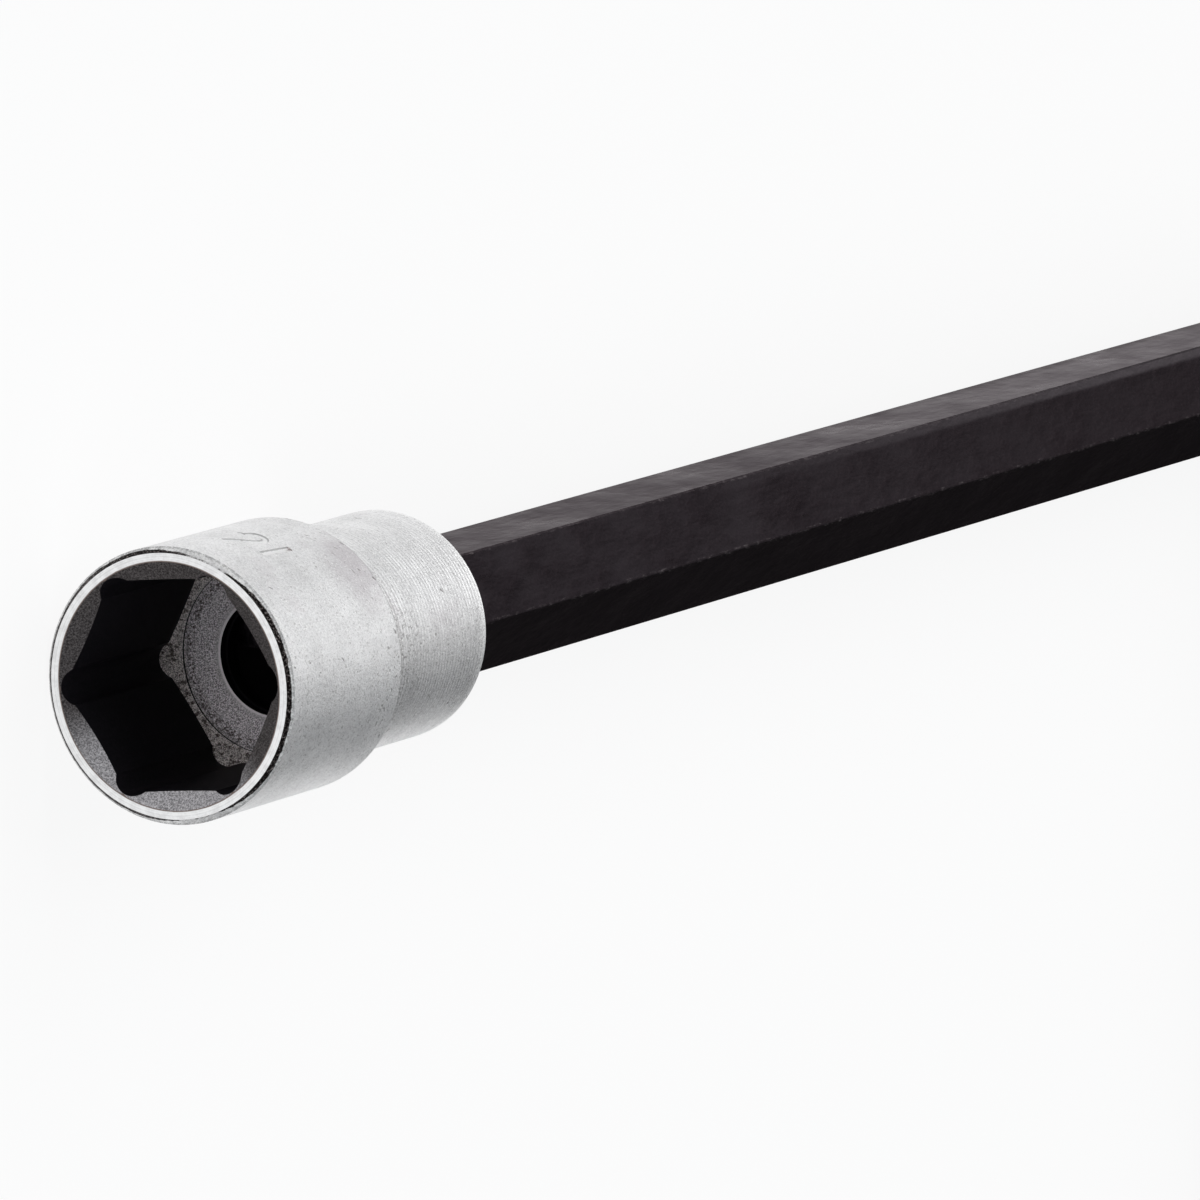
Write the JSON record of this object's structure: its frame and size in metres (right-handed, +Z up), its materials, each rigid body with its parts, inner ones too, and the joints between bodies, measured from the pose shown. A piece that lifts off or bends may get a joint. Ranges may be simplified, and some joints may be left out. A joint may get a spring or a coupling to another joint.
{
  "type": "four-way lug wrench",
  "caption": "Cross-shaped wheel nut wrench: satin chrome sockets and a square drive on black hexagonal bars; the cross bar slides through the hub past a sprung ball.",
  "frame": {"origin": "under the middle of the hub, on the surface that the wrench lies on", "axes": "+Z up out of the plane of the cross; X along the main bar, with the largest socket at -X; Y along the sliding cross bar, with the square drive at +Y"},
  "size_m": [0.6, 0.6, 0.0319],
  "materials": {
    "satin_chrome": "satin, blasted",
    "black_bar": "blackened, slightly worn on the ridges",
    "bright_steel": "bright steel",
    "black_screw": "blackened"
  },
  "bodies": {
    "main": {"hub_block": "satin_chrome", "main_bar_21": "black_bar", "main_bar_19": "black_bar", "hub_pin_21": "bright_steel", "hub_pin_19": "bright_steel", "socket_21": "satin_chrome", "socket_19": "satin_chrome", "detent_spring": "bright_steel", "detent_screw": "black_screw"},
    "cross": {"cross_bar": "black_bar", "socket_17": "satin_chrome", "drive_head": "satin_chrome", "drive_spring": "bright_steel"},
    "drive_ball": {"drive_ball": "bright_steel"},
    "detent_ball": {"detent_ball": "bright_steel"}
  },
  "joints": [
    {"name": "cross_slide", "type": "slide", "parent": "main", "child": "cross", "axis": [0, 1, 0], "range_m": [-0.2289, 0.2289]},
    {"name": "drive_ball_press", "type": "slide", "parent": "cross", "child": "drive_ball", "axis": [0, 0, -1], "range_m": [0, 0.001], "stiffness_N_per_m": 1500, "springref_m": -0.001, "deforming": ["drive_spring"]},
    {"name": "detent_ball_lift", "type": "slide", "parent": "main", "child": "detent_ball", "axis": [0, 0, 1], "range_m": [0, 0.0005], "stiffness_N_per_m": 1500, "springref_m": -0.001, "deforming": ["detent_spring"]}
  ]
}
